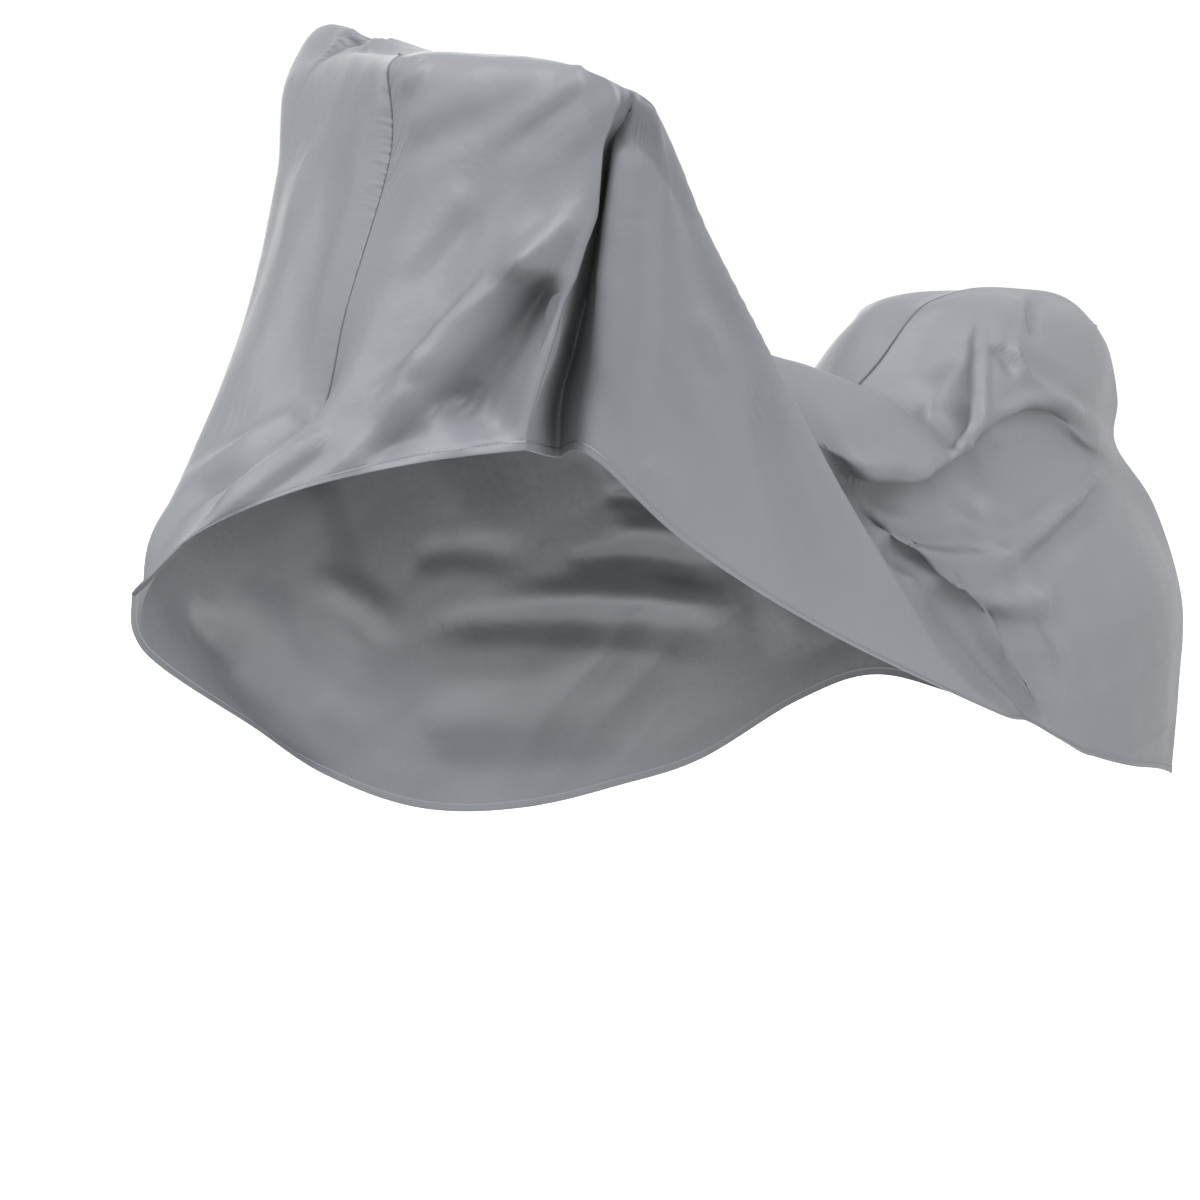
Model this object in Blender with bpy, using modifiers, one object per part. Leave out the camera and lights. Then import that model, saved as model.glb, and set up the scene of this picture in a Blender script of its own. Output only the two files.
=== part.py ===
"""Fitted cover of thin woven cloth, held in the shape it takes when draped:
a tall narrow front peak, a sagging back line behind it and a rounded rear hump.

The cover is two sewn side panels that meet in one centre seam, which climbs the
front, runs along the back line and comes down the tail.  Each panel is one sheet
lofted through section rows.  Every row follows the cloth from the hem up to the
back line.  Soft folds are then raised or sunk along lines given in a fold table.
"""
from collections import namedtuple

import bmesh
import bpy
import numpy as np

# ---------------------------------------------------------------- dimensions
ORIGIN = (0.150, 0.0, 1.140)      # hang point under the front peak, from the ground
CLOTH_THICKNESS = 0.0018
SEAM_GAP = 0.0003                 # between the two panels all along the centre seam
ROWS_PER_LEVEL = (4, 4, 4, 4, 4, 4, 4)
SLOPE_LIMIT = 1.6                 # of the shorter step beside a point, so curves don't overrun
FOLD_FADE = 0.25                  # share of a fold's length over which it dies away

# ---------------------------------------------------------------- tables
# Heights are from the ground, x runs from the front to the tail, y across.
SeamPoint = namedtuple("SeamPoint", "x z")
BACK_LINE = (
    SeamPoint(0.100, 1.140),
    SeamPoint(0.145, 1.142),
    SeamPoint(0.185, 1.132),
    SeamPoint(0.240, 1.085),
    SeamPoint(0.360, 0.960),
    SeamPoint(0.450, 0.873),
    SeamPoint(0.610, 0.785),
    SeamPoint(0.730, 0.748),
    SeamPoint(0.800, 0.790),
    SeamPoint(0.860, 0.850),
    SeamPoint(0.930, 0.872),
    SeamPoint(1.030, 0.872),
    SeamPoint(1.140, 0.850),
    SeamPoint(1.185, 0.820),
)

# One row per section.  steps = mesh columns up to the next section; the level
# columns are points on the cloth; seam = x where the section meets the back line.
Section = namedtuple("Section", "name steps hem low mid waist chest neck ridge seam")

FRONT_SEAM = Section(
    "front_seam", 4, (-.198, 0, .626), (-.125, 0, .684), (-.052, 0, .747), (.017, 0, .782),
    (.045, 0, .890), (.093, 0, 1.040), (.086, 0, 1.122), .100)
REAR_SEAM = Section(
    "rear_seam", 0, (1.413, 0, .214), (1.412, 0, .330), (1.402, 0, .450), (1.330, 0, .580),
    (1.243, 0, .666), (1.239, 0, .723), (1.215, 0, .785), 1.185)

LEFT_SECTIONS = (
    FRONT_SEAM,
    Section("front_1", 3, (-.136, -.015, .680), (-.091, -.030, .722), (-.029, -.040, .774),
            (.019, -.045, .830), (.058, -.052, .925), (.080, -.060, 1.035), (.100, -.060, 1.131), .125),
    Section("front_2", 3, (-.047, -.060, .724), (-.009, -.072, .768), (.038, -.087, .820),
            (.079, -.102, .880), (.100, -.122, .968), (.112, -.135, 1.057), (.123, -.140, 1.136), .145),
    Section("front_3", 3, (.052, -.120, .753), (.065, -.130, .796), (.083, -.145, .851),
            (.107, -.165, .915), (.125, -.185, .985), (.137, -.200, 1.057), (.147, -.210, 1.138), .165),
    Section("pleat_lip", 2, (.131, -.180, .769), (.136, -.190, .820), (.142, -.205, .875),
            (.150, -.220, .940), (.153, -.240, 1.004), (.150, -.255, 1.062), (.146, -.262, 1.133), .185),
    Section("pleat_turn", 3, (.142, -.167, .767), (.151, -.171, .817), (.158, -.188, .872),
            (.164, -.204, .938), (.165, -.227, 1.003), (.154, -.252, 1.063), (.151, -.263, 1.130), .195),
    Section("pleat_floor", 4, (.232, -.099, .745), (.241, -.091, .800), (.245, -.105, .857),
            (.236, -.138, .927), (.220, -.173, .994), (.184, -.230, 1.062), (.162, -.267, 1.125), .212),
    Section("pleat_back", 3, (.208, -.194, .759), (.206, -.202, .825), (.199, -.215, .879),
            (.191, -.230, .944), (.181, -.248, 1.013), (.175, -.265, 1.079), (.163, -.282, 1.122), .240),
    Section("flank_1", 4, (.342, -.200, .657), (.325, -.210, .719), (.312, -.220, .783),
            (.290, -.235, .857), (.260, -.250, .939), (.215, -.270, 1.039), (.174, -.282, 1.115), .290),
    Section("flank_2", 4, (.581, -.180, .531), (.514, -.195, .625), (.446, -.210, .730),
            (.387, -.220, .819), (.325, -.235, .905), (.249, -.260, 1.008), (.180, -.278, 1.112), .360),
    Section("long_ridge", 4, (.904, -.140, .392), (.792, -.155, .469), (.672, -.175, .573),
            (.546, -.195, .709), (.428, -.215, .842), (.304, -.245, .976), (.187, -.270, 1.108), .430),
    Section("hollow", 3, (.990, -.110, .365), (.890, -.110, .455), (.785, -.110, .560),
            (.660, -.110, .670), (.560, -.140, .752), (.490, -.120, .838), (.370, -.100, .922), .510),
    Section("valley_1", 3, (1.050, -.110, .335), (.955, -.125, .430), (.850, -.135, .540),
            (.720, -.095, .655), (.655, -.137, .705), (.620, -.085, .806), (.610, -.040, .790), .610),
    Section("valley_2", 3, (1.100, -.105, .310), (1.030, -.125, .400), (.950, -.140, .520),
            (.830, -.090, .640), (.765, -.128, .690), (.735, -.080, .770), (.735, -.040, .750), .730),
    Section("pocket", 3, (1.130, -.100, .300), (1.070, -.120, .390), (.990, -.135, .520),
            (.880, -.085, .645), (.812, -.122, .695), (.825, -.095, .716), (.838, -.050, .750), .800),
    Section("hump_front", 3, (1.160, -.100, .290), (1.110, -.120, .383), (1.040, -.130, .510),
            (.930, -.085, .660), (.855, -.115, .722), (.872, -.100, .775), (.910, -.060, .845), .910),
    Section("hump_crown", 3, (1.220, -.090, .272), (1.190, -.110, .370), (1.130, -.120, .510),
            (1.020, -.075, .690), (.965, -.100, .749), (.960, -.090, .800), (.990, -.055, .852), 1.03),
    Section("hump_back", 3, (1.320, -.050, .245), (1.295, -.075, .350), (1.250, -.085, .500),
            (1.150, -.055, .650), (1.090, -.080, .704), (1.110, -.065, .770), (1.125, -.040, .825), 1.14),
    REAR_SEAM,
)

RIGHT_SECTIONS = (
    FRONT_SEAM,
    Section("front_1", 3, (-.150, .055, .570), (-.118, .055, .638), (-.051, .070, .723),
            (.009, .085, .798), (.059, .100, .895), (.105, .110, 1.025), (.125, .110, 1.120), .125),
    Section("front_2", 3, (-.085, .092, .517), (-.110, .100, .631), (-.057, .125, .693),
            (.010, .165, .788), (.071, .200, .878), (.125, .240, .998), (.163, .255, 1.112), .145),
    Section("corner", 3, (.052, .160, .424), (-.001, .170, .521), (.019, .185, .629),
            (.064, .205, .756), (.113, .235, .856), (.162, .270, .989), (.187, .276, 1.140), .165),
    Section("peak_side", 3, (.174, .190, .344), (.158, .200, .429), (.153, .210, .584),
            (.159, .225, .725), (.172, .250, .862), (.195, .280, .999), (.200, .273, 1.148), .185),
    Section("flank_1", 4, (.319, .205, .280), (.300, .208, .400), (.280, .215, .560),
            (.260, .230, .720), (.245, .250, .870), (.230, .275, 1.010), (.222, .280, 1.122), .240),
    Section("flank_2", 4, (.463, .200, .259), (.440, .200, .390), (.410, .205, .560),
            (.370, .210, .720), (.330, .220, .870), (.290, .235, .990), (.260, .240, 1.055), .330),
    Section("flank_3", 4, (.608, .190, .268), (.590, .190, .400), (.560, .190, .560),
            (.530, .185, .700), (.490, .170, .800), (.440, .140, .865), (.410, .080, .905), .450),
    Section("valley_1", 3, (.720, .170, .290), (.710, .165, .420), (.700, .160, .560),
            (.680, .140, .680), (.650, .110, .760), (.630, .070, .790), (.620, .040, .795), .610),
    Section("valley_2", 3, (.860, .150, .350), (.850, .150, .460), (.830, .150, .570),
            (.800, .135, .670), (.775, .110, .730), (.755, .080, .760), (.740, .040, .758), .730),
    Section("hump_front", 3, (.980, .140, .370), (.970, .140, .460), (.950, .140, .570),
            (.930, .130, .680), (.895, .115, .770), (.865, .090, .830), (.850, .050, .852), .840),
    Section("hump_crown", 3, (1.120, .130, .330), (1.120, .135, .430), (1.110, .135, .550),
            (1.100, .125, .670), (1.080, .110, .770), (1.050, .090, .830), (1.030, .050, .860), 1.01),
    Section("hump_back", 3, (1.280, .090, .270), (1.280, .100, .370), (1.270, .105, .480),
            (1.220, .100, .600), (1.180, .085, .720), (1.160, .070, .780), (1.150, .040, .825), 1.14),
    REAR_SEAM,
)

# One row per fold.  path = (section, level) positions along the fold, counted from
# zero in the panel's own table; height is out of the cloth, negative sinks it.
Fold = namedtuple("Fold", "name path width height")

LEFT_FOLDS = (
    Fold("tension_ridge", ((3.83, 4.17), (3.3, 3.46), (2.79, 2.79), (2.08, 1.9),
         (1.11, 2.19)), .03, .018),
    Fold("tension_hollow", ((3.94, 3.25), (3.68, 2.62), (3.43, 2.05), (2.8, 1.04),
         (2.42, .71)), .036, -.032),
    Fold("wing_ridge", ((1.3, 2.04), (1.01, 1.9), (.72, 1.67), (.41, 1.41)), .022, .008),
    Fold("lip_wedge", ((4.01, 2.55), (3.83, 1.92), (3.75, 1.14), (3.69, .35)), .024, .01),
    Fold("front_streak", ((1.82, 4.69), (1.57, 4.44), (1.22, 4.16), (.72, 3.93)), .018, .007),
    Fold("front_band", ((.22, 5.01), (1.13, 5.25), (1.59, 5.43), (2.03, 5.71),
         (2.45, 5.92)), .025, -.009),
    Fold("flank_trough", ((9.23, 3.19), (9.06, 2.43), (8.97, 1.64), (8.97, 1.21),
         (9.01, .81)), .03, -.01),
    Fold("swag_edge", ((11.59, 4.06), (12.41, 4.09), (13.13, 4.04), (14.01, 4.16),
         (15.03, 4.16)), .02, .01),
    Fold("swag_under", ((10.85, 3.09), (12.64, 3.37), (13.27, 3.64), (14.45, 3.45),
         (15.54, 3.55)), .026, -.022),
    Fold("hump_arm", ((15.01, 6.23), (14.95, 5.3), (15.03, 4.75), (15.06, 4.2), (14.22, 4.1)), .016, .01),
    Fold("pocket_dark", ((13.95, 6.1), (13.98, 5.64), (14.23, 5.1), (14.56, 4.16)), .02, -.01),
    Fold("hump_boundary", ((15.88, 5.75), (15.78, 5.07), (16.29, 4.38), (16.65, 4.3),
         (17.8, 4.11)), .018, .009),
    Fold("hump_crease", ((16.31, 6.75), (16.09, 5.9), (16.17, 5.34)), .016, -.009),
    Fold("over_crest", ((15.19, 4.25), (15.86, 4.12), (16.21, 4.1), (16.55, 4.2),
         (17.64, 4.14)), .018, .009),
    Fold("over_dark", ((15.23, 3.86), (15.63, 3.73), (16.02, 3.67), (16.89, 4.03),
         (17.31, 4.0)), .02, -.012),
    Fold("rear_swell", ((14.55, 3.17), (15.69, 2.96), (16.99, 3.41)), .035, .008),
    Fold("tail_edge", ((17.19, 3.09), (15.65, 2.56), (14.97, 2.52), (13.7, 2.44),
         (12.24, 2.27)), .03, .012),
    Fold("ledge_dark", ((10.9, 2.82), (12.07, 2.86), (12.65, 2.85), (13.6, 2.73)), .024, -.01),
    Fold("ledge_swell", ((11.22, 2.34), (12.27, 2.42), (13.37, 2.48)), .02, .008),
    Fold("streak_dark", ((10.25, 2.2), (10.57, 2.03), (11.09, 1.83), (11.56, 1.83),
         (12.03, 1.87)), .02, -.012),
    Fold("streak_low", ((10.25, 1.64), (11.1, 1.39), (12.02, 1.57), (13.35, 1.88),
         (15.25, 2.05)), .024, -.01),
)
RIGHT_FOLDS = (
    Fold("peak_sag", ((4.8, 6.4), (3.6, 6.45), (2.3, 6.5)), .050, -.011),
    Fold("wing_1", ((.04, 2.88), (0.0, 2.05), (.5, 1.66), (1.27, 1.46)), .022, .008),
    Fold("peak_slit", ((2.83, 6.31), (2.63, 6.41), (2.45, 6.52), (1.33, 6.55)), .014, -.01),
    Fold("inner_4", ((4.44, 1.39), (4.97, 1.5), (5.59, 1.54), (6.16, 1.44), (6.66, 1.33)), .03, .012),
    Fold("inner_5", ((6.85, 1.64), (7.33, 1.54), (7.84, 1.38)), .03, -.008),
    Fold("face_ridge", ((1.5, 5.3), (1.3, 3.8), (1.2, 2.2)), .030, .010),
    Fold("face_trough", ((.8, 5.3), (.9, 4.0), (.9, 2.8)), .022, -.008),
    Fold("side_drape_1", ((4.6, 5.4), (5.6, 3.8), (6.6, 2.2)), .035, .014),
    Fold("side_drape_2", ((5.4, 4.8), (6.8, 3.6), (8.2, 2.4)), .035, -.014),
    Fold("side_fold_2", ((5.0, .9), (6.2, .8), (7.4, .8)), .032, .014),
    Fold("side_fold_3", ((3.0, 1.3), (3.6, .9), (4.3, .3)), .030, .012),
    Fold("side_fold_4", ((4.0, 2.8), (4.2, 2.0), (4.6, 1.2)), .030, -.012),
    Fold("hump_fold", ((10.4, 5.2), (11.0, 4.6), (11.8, 3.9)), .024, .010),
    Fold("tail_fold", ((12.4, 3.2), (11.4, 2.8), (10.4, 2.4)), .032, .012),
)

PANEL_COLOUR = (0.270, 0.283, 0.300, 1.0)


# ---------------------------------------------------------------- surfaces
def curve_weights(knots, stations):
    """Weights that carry values at the knots to a smooth curve at the stations."""
    count = len(knots)
    unit = np.eye(count)
    slope = np.zeros((count, count))
    slope[0] = (unit[1] - unit[0]) / (knots[1] - knots[0])
    slope[-1] = (unit[-1] - unit[-2]) / (knots[-1] - knots[-2])
    for i in range(1, count - 1):
        before = knots[i] - knots[i - 1]
        after = knots[i + 1] - knots[i]
        rise_in = (unit[i] - unit[i - 1]) / before
        rise_out = (unit[i + 1] - unit[i]) / after
        slope[i] = (rise_in * after + rise_out * before) / (before + after)
    rows = np.zeros((len(stations), count))
    for row, station in enumerate(stations):
        k = int(np.clip(np.searchsorted(knots, station, side="right") - 1, 0, count - 2))
        span = knots[k + 1] - knots[k]
        s = (station - knots[k]) / span
        rows[row] = ((2 * s ** 3 - 3 * s ** 2 + 1) * unit[k]
                     + (s ** 3 - 2 * s ** 2 + s) * span * slope[k]
                     + (3 * s ** 2 - 2 * s ** 3) * unit[k + 1]
                     + (s ** 3 - s ** 2) * span * slope[k + 1])
    return rows


def back_line_points(x_values):
    """Points of the centre seam along the back line."""
    knots = np.array([point.x for point in BACK_LINE])
    heights = np.array([point.z for point in BACK_LINE])
    z_values = curve_weights(knots, x_values) @ heights
    return np.stack([x_values, np.zeros(len(x_values)), z_values], axis=1)


def spread(steps):
    """Stations from zero with the given number of steps in each unit interval."""
    stations = [0.0]
    for index, count in enumerate(steps):
        stations.extend(index + (i + 1) / count for i in range(count))
    return np.array(stations)


def curve_through(knots, stations):
    """Points at the stations of smooth curves through the knots, one curve a station."""
    steps = np.diff(knots, axis=0)
    slopes = np.concatenate([steps[:1], (steps[:-1] + steps[1:]) / 2, steps[-1:]])
    length = np.linalg.norm(steps, axis=2, keepdims=True)
    shorter = np.concatenate([length[:1], np.minimum(length[:-1], length[1:]), length[-1:]])
    reach = np.maximum(np.linalg.norm(slopes, axis=2, keepdims=True), 1e-9)
    slopes = slopes * np.minimum(1.0, SLOPE_LIMIT * shorter / reach)
    k = np.clip(stations.astype(int), 0, len(knots) - 2)
    curve = np.arange(len(stations)) if knots.shape[1] > 1 else np.zeros(len(stations), dtype=int)
    s = (stations - k)[:, None]
    return ((2 * s ** 3 - 3 * s ** 2 + 1) * knots[k, curve]
            + (s ** 3 - 2 * s ** 2 + s) * slopes[k, curve]
            + (3 * s ** 2 - 2 * s ** 3) * knots[k + 1, curve]
            + (s ** 3 - s ** 2) * slopes[k + 1, curve])


def cloth_points(sections, u, v):
    """Points of the loft at pairs of section and level positions."""
    seam_x = np.array([section.seam for section in sections])
    seam_points = back_line_points(seam_x)
    rows = []
    for section, seam_point in zip(sections, seam_points):
        levels = np.array(list(section[2:9]) + [tuple(seam_point)], dtype=float)
        rows.append(curve_through(levels[:, None, :], v))
    points = curve_through(np.array(rows), u)
    along = curve_weights(np.arange(len(sections), dtype=float), u)
    exact = back_line_points(along @ seam_x)
    rough = curve_through(seam_points[:, None, :], u)
    share = np.clip(v - 6.0, 0.0, 1.0) ** 2
    return points + (exact - rough) * share[:, None]


def evaluate(sections, u_stations, v_stations):
    """Grid of surface points at fractional section and level positions."""
    u, v = np.meshgrid(u_stations, v_stations, indexing="ij")
    return cloth_points(sections, u.ravel(), v.ravel()).reshape(u.shape + (3,))


def surface_normals(grid):
    along = np.gradient(grid, axis=0)
    up = np.gradient(grid, axis=1)
    normal = np.cross(along, up)
    return normal / np.maximum(np.linalg.norm(normal, axis=2, keepdims=True), 1e-9)


def fold_offsets(grid, sections, folds):
    """Height of all folds at every grid point, measured out of the cloth."""
    offsets = np.zeros(grid.shape[:2])
    for fold in folds:
        t = np.linspace(0.0, 1.0, 25)
        path = curve_weights(np.linspace(0.0, 1.0, len(fold.path)), t) @ np.array(fold.path)
        line = cloth_points(sections, path[:, 0], path[:, 1])
        apart = np.linalg.norm(grid[:, :, None, :] - line[None, None], axis=3)
        nearest = apart.argmin(axis=2)
        distance = apart.min(axis=2)
        place = t[nearest]
        fade = np.clip(np.minimum(place, 1.0 - place) / FOLD_FADE, 0.0, 1.0)
        fade = fade * fade * (3.0 - 2.0 * fade)
        offsets += fold.height * fade * np.exp(-(distance / fold.width) ** 2)
    return offsets


def panel_grid(sections, folds, side):
    """Mid-surface of one panel; side is -1 for the left panel and +1 for the right."""
    u_stations = spread([section.steps for section in sections[:-1]])
    v_stations = spread(ROWS_PER_LEVEL)
    grid = evaluate(sections, u_stations, v_stations)
    outward = surface_normals(grid) * -side
    rim_fade = np.ones(grid.shape[:2])
    rim_fade[0] = rim_fade[-1] = 0.0
    rim_fade[:, -1] = 0.0
    lift = fold_offsets(grid, sections, folds) * rim_fade
    return grid + outward * lift[:, :, None]


# ---------------------------------------------------------------- solids
def cloth_material(name):
    material = bpy.data.materials.new(name)
    material.use_nodes = True
    shader = material.node_tree.nodes["Principled BSDF"]
    shader.inputs["Base Color"].default_value = PANEL_COLOUR
    shader.inputs["Roughness"].default_value = 0.5
    shader.inputs["Metallic"].default_value = 0.0
    return material


def build_panel(name, sections, folds, side, collection):
    """One cloth panel as a closed sheet of even thickness."""
    grid = panel_grid(sections, folds, side)
    columns, rows = grid.shape[:2]
    work = bmesh.new()
    bmesh.ops.create_grid(work, x_segments=rows - 1, y_segments=columns - 1, size=1.0)
    for vertex, point in zip(work.verts, (grid - np.array(ORIGIN)).reshape(-1, 3)):
        vertex.co = point
    if side < 0:
        bmesh.ops.reverse_faces(work, faces=work.faces)
    mesh = bpy.data.meshes.new(name)
    work.to_mesh(mesh)
    work.free()
    panel = bpy.data.objects.new(name, mesh)
    collection.objects.link(panel)

    sheet = panel.modifiers.new("thickness", "SOLIDIFY")
    sheet.thickness = CLOTH_THICKNESS
    sheet.offset = 0.0
    sheet.use_rim = True
    sheet.use_even_offset = False
    bpy.context.view_layer.update()
    solid = bpy.data.meshes.new_from_object(panel.evaluated_get(bpy.context.evaluated_depsgraph_get()))
    panel.modifiers.remove(sheet)
    panel.data = solid
    solid.name = name
    bpy.data.meshes.remove(mesh)

    # both faces of the sheet end flush in the seam plane
    on_seam = {i * rows + rows - 1 for i in range(columns)}
    on_seam |= {j for j in range(rows)}
    on_seam |= {(columns - 1) * rows + j for j in range(rows)}
    layer = columns * rows
    for vertex in solid.vertices:
        if vertex.index % layer in on_seam:
            vertex.co.y = side * SEAM_GAP / 2
        else:
            vertex.co.y = side * max(side * vertex.co.y, SEAM_GAP)
    for polygon in solid.polygons:
        polygon.use_smooth = True
    solid.materials.append(cloth_material(name + "_cloth"))
    return panel


def build_cover():
    for existing in list(bpy.data.objects):
        bpy.data.objects.remove(existing)
    collection = bpy.data.collections.new("bicycle_cover")
    bpy.context.scene.collection.children.link(collection)
    build_panel("left_panel", LEFT_SECTIONS, LEFT_FOLDS, -1, collection)
    build_panel("right_panel", RIGHT_SECTIONS, RIGHT_FOLDS, 1, collection)


build_cover()
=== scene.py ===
"""Fitted bicycle cover of thin silver-grey woven cloth, dressed for rendering.

Two sewn side panels hang from a tall front peak, over a sagging back line and a
rounded rear hump.  Each panel is lofted through the same section rows as its solid,
at a finer pitch, and carries its hem, its stitching and its finer folds.
Lengths are in metres.
"""

import math
from collections import namedtuple

import bmesh
import bpy
import numpy as np
from bpy.props import FloatProperty, FloatVectorProperty, IntProperty, PointerProperty
from bpy.types import Operator, Panel, PropertyGroup
from mathutils import Matrix, Vector


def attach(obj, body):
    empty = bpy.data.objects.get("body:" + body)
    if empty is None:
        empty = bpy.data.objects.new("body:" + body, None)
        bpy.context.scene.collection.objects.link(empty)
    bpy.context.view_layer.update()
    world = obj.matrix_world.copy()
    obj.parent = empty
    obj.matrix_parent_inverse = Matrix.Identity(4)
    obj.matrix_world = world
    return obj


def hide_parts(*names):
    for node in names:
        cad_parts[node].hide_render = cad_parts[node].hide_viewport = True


bl_info = {
    "name": "Bicycle cover",
    "version": (1, 0, 0),
    "blender": (4, 5, 0),
    "location": "View3D > Sidebar > Cover",
    "description": "Draped bicycle cover with hems, stitching, folds and a plain stage",
    "category": "Object",
}

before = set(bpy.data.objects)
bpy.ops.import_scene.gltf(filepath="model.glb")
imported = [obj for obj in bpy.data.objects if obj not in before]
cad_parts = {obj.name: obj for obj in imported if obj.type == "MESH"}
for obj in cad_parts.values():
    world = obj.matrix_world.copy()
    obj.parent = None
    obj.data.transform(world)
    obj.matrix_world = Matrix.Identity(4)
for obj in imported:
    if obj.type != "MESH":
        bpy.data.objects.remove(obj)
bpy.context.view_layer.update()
ORIGIN = (0.150, 0.0, 1.140)      # hang point under the front peak, from the ground
FLOOR_Z = -ORIGIN[2]

# ---------------------------------------------------------------- cut of the cover
# Heights are from the ground, x runs from the front to the tail, y across.
SeamPoint = namedtuple("SeamPoint", "x z")
BACK_LINE = (
    SeamPoint(0.100, 1.140),
    SeamPoint(0.145, 1.142),
    SeamPoint(0.185, 1.132),
    SeamPoint(0.240, 1.085),
    SeamPoint(0.360, 0.960),
    SeamPoint(0.450, 0.873),
    SeamPoint(0.610, 0.785),
    SeamPoint(0.730, 0.748),
    SeamPoint(0.800, 0.790),
    SeamPoint(0.860, 0.850),
    SeamPoint(0.930, 0.872),
    SeamPoint(1.030, 0.872),
    SeamPoint(1.140, 0.850),
    SeamPoint(1.185, 0.820),
)

# One row per section: points on the cloth from hem to ridge, then x where the
# section meets the back line.
Section = namedtuple("Section", "name hem low mid waist chest neck ridge seam")

FRONT_SEAM = Section(
    "front_seam", (-.198, 0, .626), (-.125, 0, .684), (-.052, 0, .747), (.017, 0, .782),
    (.045, 0, .890), (.093, 0, 1.040), (.086, 0, 1.122), .100)
REAR_SEAM = Section(
    "rear_seam", (1.413, 0, .214), (1.412, 0, .330), (1.402, 0, .450), (1.330, 0, .580),
    (1.243, 0, .666), (1.239, 0, .723), (1.215, 0, .785), 1.185)

LEFT_SECTIONS = (
    FRONT_SEAM,
    Section("front_1", (-.136, -.015, .680), (-.091, -.030, .722), (-.029, -.040, .774),
            (.019, -.045, .830), (.058, -.052, .925), (.080, -.060, 1.035), (.100, -.060, 1.131), .125),
    Section("front_2", (-.047, -.060, .724), (-.009, -.072, .768), (.038, -.087, .820),
            (.079, -.102, .880), (.100, -.122, .968), (.112, -.135, 1.057), (.123, -.140, 1.136), .145),
    Section("front_3", (.052, -.120, .753), (.065, -.130, .796), (.083, -.145, .851),
            (.107, -.165, .915), (.125, -.185, .985), (.137, -.200, 1.057), (.147, -.210, 1.138), .165),
    Section("pleat_lip", (.131, -.180, .769), (.136, -.190, .820), (.142, -.205, .875),
            (.150, -.220, .940), (.153, -.240, 1.004), (.150, -.255, 1.062), (.146, -.262, 1.133), .185),
    Section("pleat_turn", (.142, -.167, .767), (.151, -.171, .817), (.158, -.188, .872),
            (.164, -.204, .938), (.165, -.227, 1.003), (.154, -.252, 1.063), (.151, -.263, 1.130), .195),
    Section("pleat_floor", (.226, -.119, .745), (.234, -.112, .800), (.236, -.127, .857),
            (.228, -.156, .927), (.214, -.184, .994), (.184, -.230, 1.062), (.162, -.267, 1.125), .212),
    Section("pleat_back", (.208, -.194, .759), (.206, -.202, .825), (.199, -.215, .879),
            (.191, -.230, .944), (.181, -.248, 1.013), (.175, -.265, 1.079), (.163, -.282, 1.122), .240),
    Section("flank_1", (.342, -.200, .657), (.325, -.210, .719), (.312, -.220, .783),
            (.290, -.235, .857), (.260, -.250, .939), (.215, -.270, 1.039), (.174, -.282, 1.115), .290),
    Section("flank_2", (.581, -.180, .531), (.514, -.195, .625), (.446, -.210, .730),
            (.387, -.220, .819), (.325, -.235, .905), (.249, -.260, 1.008), (.180, -.278, 1.112), .360),
    Section("long_ridge", (.904, -.140, .392), (.792, -.155, .469), (.672, -.175, .573),
            (.546, -.195, .709), (.428, -.215, .842), (.304, -.245, .976), (.187, -.270, 1.108), .430),
    Section("hollow", (.990, -.110, .365), (.890, -.110, .455), (.785, -.110, .560),
            (.660, -.110, .670), (.560, -.140, .752), (.490, -.120, .838), (.370, -.100, .922), .510),
    Section("valley_1", (1.050, -.110, .335), (.955, -.125, .430), (.850, -.135, .540),
            (.720, -.095, .655), (.655, -.137, .705), (.620, -.085, .806), (.610, -.040, .790), .610),
    Section("valley_2", (1.100, -.105, .310), (1.030, -.125, .400), (.950, -.140, .520),
            (.830, -.090, .640), (.765, -.128, .690), (.735, -.080, .770), (.735, -.040, .750), .730),
    Section("pocket", (1.130, -.100, .300), (1.070, -.120, .390), (.990, -.135, .520),
            (.880, -.085, .645), (.812, -.122, .695), (.825, -.095, .716), (.838, -.050, .750), .800),
    Section("hump_front", (1.160, -.100, .290), (1.110, -.120, .383), (1.040, -.130, .510),
            (.930, -.085, .660), (.855, -.115, .722), (.872, -.100, .775), (.910, -.060, .845), .910),
    Section("hump_crown", (1.220, -.090, .272), (1.190, -.110, .370), (1.130, -.120, .510),
            (1.020, -.075, .690), (.965, -.100, .749), (.960, -.090, .800), (.990, -.055, .852), 1.03),
    Section("hump_back", (1.320, -.050, .245), (1.295, -.075, .350), (1.250, -.085, .500),
            (1.150, -.055, .650), (1.090, -.080, .704), (1.110, -.065, .770), (1.125, -.040, .825), 1.14),
    REAR_SEAM,
)

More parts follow.
